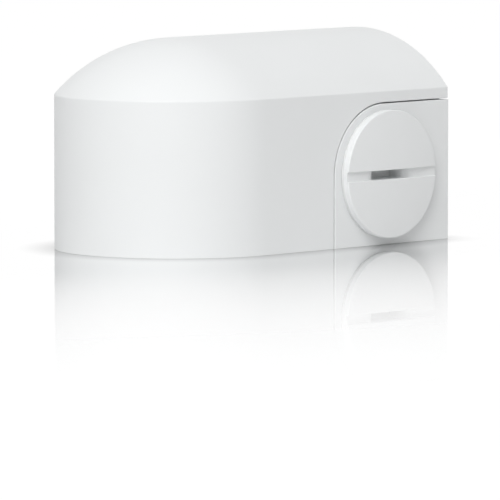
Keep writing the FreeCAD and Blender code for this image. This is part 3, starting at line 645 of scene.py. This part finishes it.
@dataclass
class Box:
    """Where a construction node lies."""

    low: Vector
    high: Vector

    @classmethod
    def of(cls, node: str) -> "Box":
        """The box of that node."""
        low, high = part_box(node)
        return cls(low, high)

    @property
    def middle(self) -> Vector:
        """Its middle."""
        return (self.low + self.high) / 2

    @property
    def size(self) -> Vector:
        """Its size along each axis."""
        return self.high - self.low


def along_y(at: Vector, forwards: bool) -> Matrix:
    """The placement that lays a shape's Z axis along Y.

    Args:
        at: where the shape's origin goes.
        forwards: whether its Z points along +Y.

    Returns:
        The placement.
    """
    quarter = math.radians(-90 if forwards else 90)
    return Matrix.Translation(at) @ Matrix.Rotation(quarter, 4, "X")


class Drive(Enum):
    """What a screw is turned by."""

    HEX_SOCKET = "hex socket"
    CROSS_RECESS = "cross recess"


@dataclass
class Screw:
    """A headed screw with a real helical thread. Its Z axis runs out of the head, from under it."""

    head_radius: float
    head_thick: float
    length: float
    thread: float
    pitch: float
    drive: Drive
    drive_width: float
    drive_depth: float
    drive_reach: float
    head_round: float = 0.35 * MM
    shank_in_head: float = 0.25
    thread_depth_share: float = 0.61
    flank_gain: float = 1.3
    flank_start: float = 0.15
    tip_bevel: float = 0.4 * MM
    rows_a_turn: int = 8
    sides: int = 40

    def tree(self, name: str) -> ShapeTree:
        """The tree that adds the threaded shank to the head and cuts its drive."""
        made = ShapeTree(name, {
            "Thread radius": self.thread / 2, "Thread depth": self.pitch * self.thread_depth_share,
            "Pitch": self.pitch, "Length": self.length, "Tip bevel": self.tip_bevel,
            "Drive width": self.drive_width, "Drive depth": self.drive_depth,
            "Drive reach": self.drive_reach, "Head thickness": self.head_thick})
        thread, depth = made.size("Thread radius"), made.size("Thread depth")
        pitch, length, bevel = made.size("Pitch"), made.size("Length"), made.size("Tip bevel")

        def radius(turn: Field, height: Field) -> Field:
            """The thread's crests and roots, faded out under the head and bevelled at the tip."""
            wave = (height / pitch - turn).zigzag()
            flank = (wave * self.flank_gain - self.flank_start).clamped()
            faded = ((height * -1.0) / pitch).clamped()
            return (thread - flank * faded * depth).at_most(thread - bevel + height + length)

        rows = int(self.length / self.pitch * self.rows_a_turn) + ROD_END_ROWS
        shank = made.rod(radius, length * -1.0, made.size("Head thickness") * self.shank_in_head,
                         rows, self.sides)
        whole = made.combine("UNION", made.given.outputs[0], shank)
        made.end(made.combine("DIFFERENCE", whole, *self._recess(made)))
        return made

    def _recess(self, made: ShapeTree) -> list[Socket]:
        """The shapes that cut the drive into the head's top."""
        width, reach = made.size("Drive width"), made.size("Drive reach")
        depth = made.size("Drive depth")
        middle = made.vector(z=made.size("Head thickness"))
        if self.drive is Drive.HEX_SOCKET:
            hexagon = made.node("GeometryNodeMeshCylinder", inputs={
                "Vertices": 6, "Radius": width / math.sqrt(3), "Depth": depth * 2})
            solids = [hexagon]
        else:
            solids = [made.node("GeometryNodeMeshCube",
                                inputs={"Size": made.vector(first, second, depth * 2)})
                      for first, second in ((reach, width), (width, reach))]
        moved = [made.node("GeometryNodeTransform",
                           inputs={"Geometry": solid.outputs["Mesh"], "Translation": middle})
                 for solid in solids]
        return [solid.outputs[0] for solid in moved]

    def make(self, name: str, material: Material, place: Matrix) -> Object:
        """One screw.

        Args:
            name: the object's name.
            material: its finish.
            place: where it goes.

        Returns:
            The screw's object.
        """
        outline = rounded_disc(self.head_radius, self.head_thick, self.head_round)
        return self.tree(name).make(name, lathe(name, outline, self.sides), material, place)


@dataclass
class Insert:
    """A pressed-in brass insert: two bands of slanted knurls, a groove between, a threaded bore."""

    radius: float
    bore: float
    length: float
    pitch: float
    knurls: int = 22
    knurl_depth: float = 0.16 * MM
    knurl_slant: float = 0.9
    groove: float = 0.9 * MM
    groove_depth: float = 0.3 * MM
    end_bevel: float = 0.25 * MM
    thread_depth_share: float = 0.45
    rows: int = 34
    sides: int = 88
    bore_past_end: float = 0.05
    bore_rows_a_turn: int = 7
    bore_sides: int = 32

    def tree(self, name: str) -> ShapeTree:
        """The tree that makes one insert and sets a copy of it on each point."""
        made = ShapeTree(name, {
            "Radius": self.radius, "Bore": self.bore, "Length": self.length, "Pitch": self.pitch,
            "Knurls": float(self.knurls), "Knurl depth": self.knurl_depth, "Groove": self.groove,
            "Groove depth": self.groove_depth, "End bevel": self.end_bevel})
        radius, bore, length = made.size("Radius"), made.size("Bore"), made.size("Length")
        pitch, bevel = made.size("Pitch"), made.size("End bevel")

        def outside(turn: Field, height: Field) -> Field:
            """Slanted knurls that turn their slant round at the middle groove."""
            off = abs(height - length / 2)
            slant = off / radius * (self.knurl_slant / FULL_TURN)
            cut = ((turn + slant) * made.size("Knurls")).zigzag() * made.size("Knurl depth")
            in_groove = off < made.size("Groove") / 2
            bevelled = (bevel - (length / 2 - off).at_least(0.0)).at_least(0.0)
            grooved = in_groove * made.size("Groove depth")
            return radius - cut * (1 - in_groove) - grooved - bevelled

        def inside(turn: Field, height: Field) -> Field:
            """The bore, with its thread cut outwards and a countersink at both mouths."""
            wave = (height / pitch - turn).zigzag()
            to_end = (length / 2 - abs(height - length / 2)).at_least(0.0)
            countersink = (bevel - to_end).at_least(0.0)
            return bore + wave * pitch * self.thread_depth_share + countersink

        blank = made.rod(outside, 0.0, length, self.rows, self.sides)
        bore_rows = int(self.length / self.pitch * self.bore_rows_a_turn) + ROD_END_ROWS
        hole = made.rod(inside, length * -self.bore_past_end, length * (1 + self.bore_past_end),
                        bore_rows, self.bore_sides)
        one = made.combine("DIFFERENCE", blank, hole)
        copies = made.node("GeometryNodeInstanceOnPoints",
                           inputs={"Points": made.given.outputs[0], "Instance": one})
        made.end(copies.outputs[0])
        return made

    def make(self, name: str, material: Material, places: list[Vector],
             height: float) -> Object:
        """A set of inserts.

        Args:
            name: the object's name.
            material: their finish.
            places: X and Z of each, with Y left at 0.
            height: the Y of their inner ends.

        Returns:
            One object that holds them all.
        """
        points = point_mesh(name, [Vector((p.x, -p.z, 0.0)) for p in places])
        place = along_y(Vector((0, height, 0)), forwards=True)
        return self.tree(name).make(name, points, material, place)


@dataclass
class SoftCopy:
    """A soft moulding or die-cut strip: the construction's shape with its corners eased."""

    node: str
    body: str
    slot: str
    easing: float
    steps: int = 3
    weld: float = 0.0005 * MM
    flat_degrees: float = 0.5
    corner_degrees: float = 35

    def make(self, material: Material) -> Object:
        """Makes the piece and lets it stand for its node.

        Args:
            material: its finish.

        Returns:
            The piece.
        """
        name = f"{self.node}_soft"
        shape = bmesh.new()
        shape.from_mesh(bpy.data.objects[self.node].data)
        bmesh.ops.remove_doubles(shape, verts=shape.verts, dist=self.weld)
        bmesh.ops.dissolve_limit(shape, angle_limit=math.radians(self.flat_degrees),
                                 verts=shape.verts, edges=shape.edges)
        made = link(name, plain_mesh(name, shape))
        bevel = made.modifiers.new("easing", "BEVEL")
        bevel.width = self.easing
        bevel.segments = self.steps
        bevel.limit_method = "ANGLE"
        bevel.angle_limit = math.radians(self.corner_degrees)
        settle(made)
        dress(made, material)
        return fit(made, self.body, self.slot, self.node)


def dress(made: Object, material: Material) -> None:
    """Gives a new object one material."""
    made.data.materials.clear()
    made.data.materials.append(material)


def wear(node: str, material: Material) -> None:
    """Gives a construction node its finish."""
    for slot in bpy.data.objects[node].material_slots:
        slot.material = material
    log.info("%s wears %s", node, material.name)


def fit(made: Object, body: str, slot: str, *nodes: str) -> Object:
    """Lets a piece ride on its body and stand for nodes, which are hidden.

    Args:
        made: the piece.
        body: the construction's body that it moves with.
        slot: the record's material slot; not used.
        nodes: the construction nodes that it stands for.

    Returns:
        The piece.
    """
    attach(made, body)
    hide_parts(*nodes)
    log.info("%s stands for %s on %s", made.name, ", ".join(nodes), body)
    return made


@dataclass
class Finishes:
    """Every finish of the adapter, made once."""

    screw_axes: tuple[float, float]
    bracket_axes: tuple[float, float]
    made: dict[str, Material] = field(default_factory=dict)

    white: Colour = (0.858, 0.872, 0.875)
    silicone: Colour = (0.76, 0.77, 0.77)
    silicone_bloom: Colour = (0.79, 0.80, 0.80)
    black: Colour = (0.022, 0.022, 0.024)
    charcoal: Colour = (0.05, 0.05, 0.055)
    steel: Colour = (0.56, 0.56, 0.57)
    dull_steel: Colour = (0.4, 0.4, 0.42)
    brass: Colour = (0.83, 0.62, 0.28)
    dull_brass: Colour = (0.55, 0.38, 0.16)

    def build(self) -> None:
        """Makes them all."""
        kinds = [
            MouldedPlastic("hood_plastic", self.white, roughness=0.54),
            MouldedPlastic("base_plastic", self.white, roughness=0.5),
            MouldedPlastic("plug_plastic", self.white, roughness=0.4, grain=0.3 * MM, flow=9 * MM),
            MouldedPlastic("clamp_nylon", self.charcoal, roughness=0.52, grain=0.5 * MM,
                           shade_change=0.2),
            Elastomer("washer_silicone", self.silicone, roughness=0.5, bloom=self.silicone_bloom),
            Elastomer("seal_rubber", self.black),
            Elastomer("grommet_rubber", self.black, roughness=0.55, patch=6 * MM),
            ClosedCellFoam("gasket_foam", self.charcoal),
            TurnedMetal("screw_steel", self.steel, self.dull_steel, roughness=0.26,
                        axes=self.screw_axes),
            TurnedMetal("insert_brass", self.brass, self.dull_brass, roughness=0.34,
                        axes=self.bracket_axes),
        ]
        for kind in kinds:
            self.made[kind.name] = kind.build()
            log.info("finish %s", kind.name)

    def __getitem__(self, name: str) -> Material:
        """The finish of that name."""
        return self.made[name]


@dataclass
class Housing:
    """The base and the hood that slides over it, with the seals between them."""

    finishes: Finishes
    seal_easing: float = 0.3 * MM
    foam_easing: float = 0.3 * MM

    def build(self) -> None:
        """Dresses the shells and makes the soft strips and foam rings."""
        rubber, foam = self.finishes["seal_rubber"], self.finishes["gasket_foam"]
        wear("base", self.finishes["base_plastic"])
        wear("cover", self.finishes["hood_plastic"])
        for node in ("cover_seal", "side_seal_left", "side_seal_right"):
            SoftCopy(node, "base", "seal_rubber", self.seal_easing).make(rubber)
        for node in ("wall_gasket", "rear_gasket"):
            ring = SoftCopy(node, "base", "gasket_foam", self.foam_easing).make(foam)


@dataclass
class SideEntry:
    """One conduit entry's slotted plug and its washer."""

    side: str
    finishes: Finishes
    washer_easing: float = 0.4 * MM

    def build(self) -> None:
        """Dresses the plug and makes the washer."""
        wear(f"plug_{self.side}", self.finishes["plug_plastic"])
        washer = SoftCopy(f"plug_washer_{self.side}", f"{self.side}_plug_washer", "plug_washer",
                          self.washer_easing)
        washer.make(self.finishes["washer_silicone"])


@dataclass
class CoverScrews:
    """The two recessed screws that hold the hood, with their sealing rings."""

    finishes: Finishes
    thread: float = 3.0 * MM
    pitch: float = 0.5 * MM
    head_thick: float = 2.0 * MM
    hex_width: float = 2.0 * MM
    hex_depth: float = 1.3 * MM
    ring_easing: float = 0.2 * MM

    def build(self) -> None:
        """Makes a screw and a ring on each side."""
        steel, rubber = self.finishes["screw_steel"], self.finishes["seal_rubber"]
        for side in ("right", "left"):
            box = Box.of(f"cover_screw_{side}")
            screw = Screw(head_radius=box.size.z / 2, head_thick=self.head_thick,
                          length=box.size.y - self.head_thick, thread=self.thread,
                          pitch=self.pitch, drive=Drive.HEX_SOCKET, drive_width=self.hex_width,
                          drive_depth=self.hex_depth, drive_reach=self.hex_width)
            under_head = Vector((box.middle.x, box.high.y - self.head_thick, box.middle.z))
            made = screw.make(f"cover_screw_{side}_threaded", steel,
                              along_y(under_head, forwards=True))
            fit(made, f"{side}_screw", "screw_steel", f"cover_screw_{side}")
            SoftCopy(f"screw_seal_{side}", f"{side}_screw_ring", "seal_rubber",
                     self.ring_easing).make(rubber)


@dataclass
class CableOutlet:
    """The rubber grommet in the rear wall with its clamp plate and screws, and the wall's bung."""

    finishes: Finishes
    thread: float = 2.2 * MM
    pitch: float = 0.8 * MM
    thread_depth_share: float = 0.36
    head_thick: float = 1.6 * MM
    head_round: float = 0.5 * MM
    cross_width: float = 0.55 * MM
    cross_reach: float = 2.2 * MM
    cross_depth: float = 0.8 * MM
    rubber_easing: float = 0.35 * MM

    def build(self) -> None:
        """Makes the grommet, the bung and the screws, and dresses the clamp."""
        rubber = self.finishes["grommet_rubber"]
        for node in ("cable_grommet", "wall_entry_bung"):
            SoftCopy(node, "base", "grommet_rubber", self.rubber_easing).make(rubber)
        wear("grommet_clamp", self.finishes["clamp_nylon"])
        self._screws()

    def _screws(self) -> None:
        """Makes the pair of clamp screws as one piece, as their node is."""
        box = Box.of("clamp_screws")
        radius = box.size.z / 2
        screw = Screw(head_radius=radius, head_thick=self.head_thick,
                      length=box.size.y - self.head_thick, thread=self.thread, pitch=self.pitch,
                      drive=Drive.CROSS_RECESS, drive_width=self.cross_width,
                      drive_depth=self.cross_depth, drive_reach=self.cross_reach,
                      head_round=self.head_round, thread_depth_share=self.thread_depth_share)
        pair = []
        for side in (1, -1):
            under_head = Vector((side * (box.high.x - radius), box.low.y + self.head_thick,
                                 box.middle.z))
            pair.append(screw.make("clamp_screws_threaded", self.finishes["screw_steel"],
                                   along_y(under_head, forwards=False)))
        fit(join(pair), "base", "screw_steel", "clamp_screws")


def join(pieces: list[Object]) -> Object:
    """Puts the meshes of several objects at the origin into the first and removes the rest."""
    shape = bmesh.new()
    for piece in pieces:
        shape.from_mesh(piece.data)
    shape.to_mesh(pieces[0].data)
    shape.free()
    for piece in pieces[1:]:
        bpy.data.objects.remove(piece)
    return pieces[0]


@dataclass
class Inserts:
    """The brass inserts: two in the hood for its screws, four in the base for the bracket's."""

    finishes: Finishes
    bracket: dict[str, float]
    cover_bore: float = 1.58 * MM
    cover_pitch: float = 0.5 * MM
    bracket_bore: float = 1.65 * MM
    bracket_pitch: float = 0.7 * MM
    bracket_knurls: int = 28

    def build(self) -> None:
        """Makes both sets."""
        brass = self.finishes["insert_brass"]
        box = Box.of("cover_inserts")
        radius = box.size.z / 2
        places = [Vector((side * (box.high.x - radius), 0, box.middle.z)) for side in (1, -1)]
        insert = Insert(radius, self.cover_bore, box.size.y, self.cover_pitch)
        made = insert.make("cover_inserts_knurled", brass, places, box.low.y)
        fit(made, "cover", "insert_brass", "cover_inserts")
        box = Box.of("bracket_inserts")
        wide = self.bracket["spacing_x_mm"] * MM / 2
        high = self.bracket["spacing_y_mm"] * MM / 2
        radius = box.high.x - wide
        places = [Vector((x, 0, box.middle.z + z)) for x in (wide, -wide) for z in (high, -high)]
        insert = Insert(radius, self.bracket_bore, box.size.y, self.bracket_pitch,
                        knurls=self.bracket_knurls)
        made = insert.make("bracket_inserts_knurled", brass, places, box.low.y)
        fit(made, "base", "insert_brass", "bracket_inserts")


@dataclass
class Floor:
    """A pale, faintly mirroring table, with a hole under the foot that lets light to its underside.

    The mirror image fades with the distance from the foot, and less so ahead of the nose. A soft
    shadow is painted into the table's glow and its mirror image where the foot meets the table.
    """

    foot: Box
    reach: float = 6.0
    below: float = 0.02 * MM
    hole_margin: float = 0.3 * MM
    nose_points: int = 48
    mirror_at_foot: float = 1.4
    mirror_fade: float = 72 * MM
    mirror_ahead: float = 0.7
    # The painted shadow at the foot: how far it reaches, how dark it gets, and how many samples it
    # takes.
    painted_shadow_reach: float = 10 * MM
    painted_shadow_share: float = 0.5
    painted_shadow_samples: int = 12
    glow: float = 0.965
    shadow_share: float = 0.06
    bounce: Colour = (0.8, 0.8, 0.8)

    def build(self) -> None:
        """Makes the floor's mesh and material."""
        made = link("floor", self._mesh())
        dress(made, self._material())
        log.info("floor")

    @property
    def nose_centre(self) -> float:
        """The Y of the centre of the foot's rounded end."""
        return self.foot.low.y + self.foot.high.x

    def _mesh(self) -> bpy.types.Mesh:
        """A square with a hole a little smaller than the foot."""
        radius = self.foot.high.x - self.hole_margin
        rear = self.foot.high.y - self.hole_margin
        angles = [math.pi + math.pi * step / self.nose_points
                  for step in range(self.nose_points + 1)]
        foot = [(radius * math.cos(a), self.nose_centre + radius * math.sin(a)) for a in angles]
        foot += [(radius, rear), (-radius, rear)]
        square = [(self.reach * x, self.reach * y) for x, y in ((-1, -1), (1, -1), (1, 1), (-1, 1))]
        shape = bmesh.new()
        for loop in (square, foot):
            points = [shape.verts.new((x, y, -self.below)) for x, y in loop]
            for first, second in zip(points, points[1:] + points[:1]):
                shape.edges.new((first, second))
        bmesh.ops.triangle_fill(shape, use_beauty=True, use_dissolve=False, edges=shape.edges,
                                normal=(0, 0, 1))
        for face in shape.faces:
            if face.normal.z < 0:
                face.normal_flip()
        return plain_mesh("floor", shape)

    def _material(self) -> Material:
        """White and mirroring where it is looked at, with a painted shadow near the foot, and a
        plain pale table for the light.
        """
        surface = Surface("floor")
        x, y, _ = surface.parts(surface.place)
        ahead = (y - self.nose_centre).at_most(0.0) * self.mirror_ahead
        off = ((x * x + ahead * ahead).root() - self.foot.high.x).at_least(0.0)
        mirror = ((off / -self.mirror_fade).exponential() * self.mirror_at_foot).at_most(1.0)
        # Painted shadow: ambient occlusion near the foot darkens the white that the table glows
        # with and that tints its mirror image.
        painted_shadow_occlusion = surface.node("ShaderNodeAmbientOcclusion", {"samples": self.painted_shadow_samples},
                              {"Distance": self.painted_shadow_reach})
        painted_shadow = 1 - (1 - surface.number(painted_shadow_occlusion, "AO")) * self.painted_shadow_share
        white = surface.blend(painted_shadow, (0, 0, 0, 1), (1, 1, 1, 1))
        glow = surface.node("ShaderNodeEmission", inputs={"Color": white, "Strength": self.glow})
        lit = surface.node("ShaderNodeBsdfDiffuse",
                           inputs={"Color": opaque((self.shadow_share,) * 3)})
        plain = surface.node("ShaderNodeAddShader", inputs={0: glow.outputs[0], 1: lit.outputs[0]})
        image = surface.node("ShaderNodeBsdfGlossy", inputs={"Color": white, "Roughness": 0.0})
        bounce = surface.node("ShaderNodeBsdfDiffuse", inputs={"Color": opaque(self.bounce)})
        above = surface.mix(surface.looked_at(), bounce, surface.mix(mirror, plain, image))
        behind = surface.number(surface.node("ShaderNodeNewGeometry"), "Backfacing")
        return surface.end(surface.mix(behind, above, surface.node("ShaderNodeBsdfTransparent")))


def stand_off(made: Object, aim: Vector, azimuth: float, elevation: float,
              distance: float) -> None:
    """Sets a lamp or camera away from a point and turns it towards that point.

    Args:
        made: the lamp or camera.
        aim: the point.
        azimuth: the way out from the point, in degrees. 0 is towards -Y and 90 towards +X.
        elevation: the height of that way out above the horizon, in degrees.
        distance: how far away it stands.
    """
    turn, lift = math.radians(azimuth), math.radians(elevation)
    level = math.cos(lift)
    out = Vector((math.sin(turn) * level, -math.cos(turn) * level, math.sin(lift)))
    made.location = aim + out * distance
    made.rotation_mode = "QUATERNION"
    made.rotation_quaternion = (-out).to_track_quat("-Z", "Y")


@dataclass(frozen=True)
class SoftBox:
    """One studio lamp, aimed at the adapter."""

    name: str
    azimuth: float
    elevation: float
    distance: float
    size: float
    power: float

    def build(self, aim: Vector) -> None:
        """Makes the lamp, which lights the point of aim."""
        light = bpy.data.lights.new(self.name, "AREA")
        light.shape = "DISK"
        light.size = self.size
        light.energy = self.power
        made = link(self.name, light)
        stand_off(made, aim, self.azimuth, self.elevation, self.distance)
        made.visible_camera = False
        log.info("lamp %s", self.name)


@dataclass
class Studio:
    """The floor, lamps, white surroundings and the camera at the photograph's view."""

    foot: Box
    camera_azimuth: float = 44.27
    camera_elevation: float = 5.134
    camera_distance: float = 1664.05 * MM
    camera_aim: Vector = field(default_factory=lambda: Vector((4.71, 3.40, -1.69)) * MM)
    camera_range: tuple[float, float] = (0.01, 50.0)
    focal_length: float = 465.3
    sensor: float = 36.0
    ambient: float = 0.17
    sky: float = 0.543
    lamps: tuple[SoftBox, ...] = (
        SoftBox("low_key", azimuth=32.3, elevation=25.0, distance=1.6, size=0.9, power=4.06),
        SoftBox("high_key", azimuth=32.3, elevation=45.0, distance=1.6, size=0.9, power=10.1),
    )

    def build(self) -> None:
        """Makes all of it and sets plain colour handling."""
        Floor(self.foot).build()
        for lamp in self.lamps:
            lamp.build(self.camera_aim)
        self._surroundings()
        self._camera()
        bpy.context.scene.view_settings.view_transform = "Standard"

    def _surroundings(self) -> None:
        """White where they are looked at. Their light is strongest from straight up and down."""
        world = bpy.data.worlds.new("studio")
        bpy.context.scene.world = world
        world.use_nodes = True
        graph = Graph(world.node_tree)
        graph.tree.nodes.clear()
        seen = graph.looked_at()
        _, _, up = graph.parts(graph.node("ShaderNodeTexCoord").outputs["Generated"])
        light = abs(up) * self.sky + self.ambient
        strength = seen + (1 - seen) * light
        glow = graph.node("ShaderNodeBackground",
                          inputs={"Color": (1, 1, 1, 1), "Strength": strength})
        out = graph.node("ShaderNodeOutputWorld")
        graph.tree.links.new(glow.outputs[0], out.inputs["Surface"])

    def _camera(self) -> None:
        """The photograph's camera."""
        data = bpy.data.cameras.new("camera")
        data.lens = self.focal_length
        data.sensor_width = self.sensor
        data.clip_start, data.clip_end = self.camera_range
        made = link("camera", data)
        stand_off(made, self.camera_aim, self.camera_azimuth, self.camera_elevation,
                  self.camera_distance)
        bpy.context.scene.camera = made
        log.info("camera at azimuth %.2f", self.camera_azimuth)


def main() -> None:
    """Builds the adapter's looks and its studio."""
    logging.basicConfig(level=logging.INFO, format="%(message)s")
    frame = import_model()
    mounts = {mount["name"]: mount for mount in frame["record"]["mounts"]}
    screw, bracket = Box.of("cover_screw_right"), mounts["camera_bracket"]["dims"]
    finishes = Finishes(
        screw_axes=(screw.middle.x, screw.middle.z),
        bracket_axes=(bracket["spacing_x_mm"] * MM / 2, Box.of("bracket_inserts").middle.z),
    )
    finishes.build()
    Housing(finishes).build()
    for side in ("right", "left"):
        SideEntry(side, finishes).build()
    CoverScrews(finishes).build()
    CableOutlet(finishes).build()
    Inserts(finishes, bracket).build()
    Studio(Box(Box.of("cover").low, Box.of("base").high)).build()
    bpy.context.view_layer.update()


if __name__ == "__main__":
    main()
